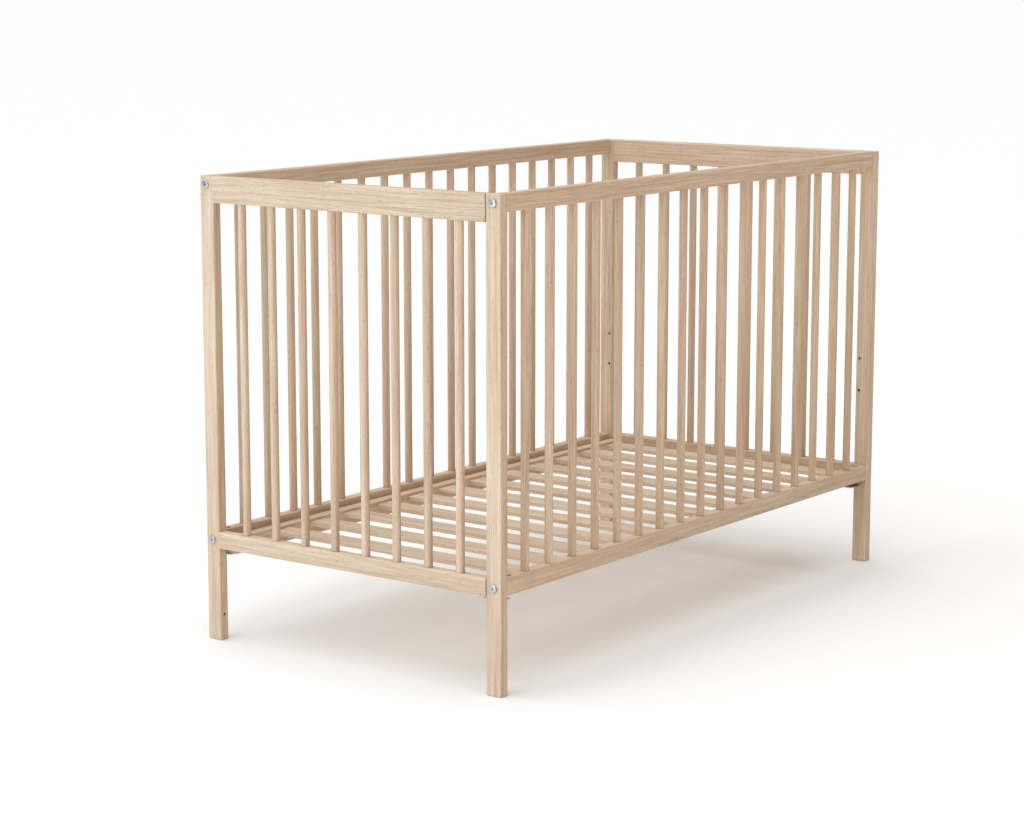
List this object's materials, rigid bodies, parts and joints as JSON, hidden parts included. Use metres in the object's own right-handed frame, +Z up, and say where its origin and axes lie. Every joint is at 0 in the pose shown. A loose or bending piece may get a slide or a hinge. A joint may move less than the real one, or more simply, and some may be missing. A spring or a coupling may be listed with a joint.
{
  "type": "baby crib",
  "caption": "Wooden baby crib with round-bar sides and ends, square-edged posts, bolted side rails and a slatted mattress base.",
  "frame": {"origin": "on the floor under the middle of the crib", "axes": "+X along the crib towards the head end, +Y across it to the right-hand side, +Z up"},
  "size_m": [1.2472, 0.646, 0.82],
  "materials": {
    "beech_upright": "matte",
    "beech_lengthwise": "matte",
    "beech_crosswise": "matte",
    "beech_slats": "matte",
    "zinc_steel": "satin"
  },
  "bodies": {
    "frame": {"barrel_nuts": "zinc_steel", "base_brackets": "zinc_steel", "bracket_screws": "zinc_steel", "end_dowels": "beech_crosswise", "foot_bottom_rail": "beech_crosswise", "foot_left_post": "beech_upright", "foot_right_post": "beech_upright", "foot_spindle_1": "beech_upright", "foot_spindle_2": "beech_upright", "foot_spindle_3": "beech_upright", "foot_spindle_4": "beech_upright", "foot_spindle_5": "beech_upright", "foot_spindle_6": "beech_upright", "foot_spindle_7": "beech_upright", "foot_spindle_8": "beech_upright", "foot_top_rail": "beech_crosswise", "head_bottom_rail": "beech_crosswise", "head_left_post": "beech_upright", "head_right_post": "beech_upright", "head_spindle_1": "beech_upright", "head_spindle_2": "beech_upright", "head_spindle_3": "beech_upright", "head_spindle_4": "beech_upright", "head_spindle_5": "beech_upright", "head_spindle_6": "beech_upright", "head_spindle_7": "beech_upright", "head_spindle_8": "beech_upright", "head_top_rail": "beech_crosswise", "left_bottom_rail": "beech_lengthwise", "left_spindles": "beech_upright", "left_top_rail": "beech_lengthwise", "panel_bolts": "zinc_steel", "right_bottom_rail": "beech_lengthwise", "right_spindles": "beech_upright", "right_top_rail": "beech_lengthwise", "side_dowels": "beech_lengthwise"},
    "base": {"left_base_rail": "beech_lengthwise", "right_base_rail": "beech_lengthwise", "slat_1": "beech_slats", "slat_2": "beech_slats", "slat_3": "beech_slats", "slat_4": "beech_slats", "slat_5": "beech_slats", "slat_6": "beech_slats", "slat_7": "beech_slats", "slat_8": "beech_slats", "slat_9": "beech_slats", "slat_10": "beech_slats", "slat_11": "beech_slats", "slat_12": "beech_slats", "slat_13": "beech_slats"}
  },
  "joints": [
    {"name": "base_height", "type": "slide", "parent": "frame", "child": "base", "axis": [0, 0, 1], "range_m": [0, 0.25]}
  ]
}
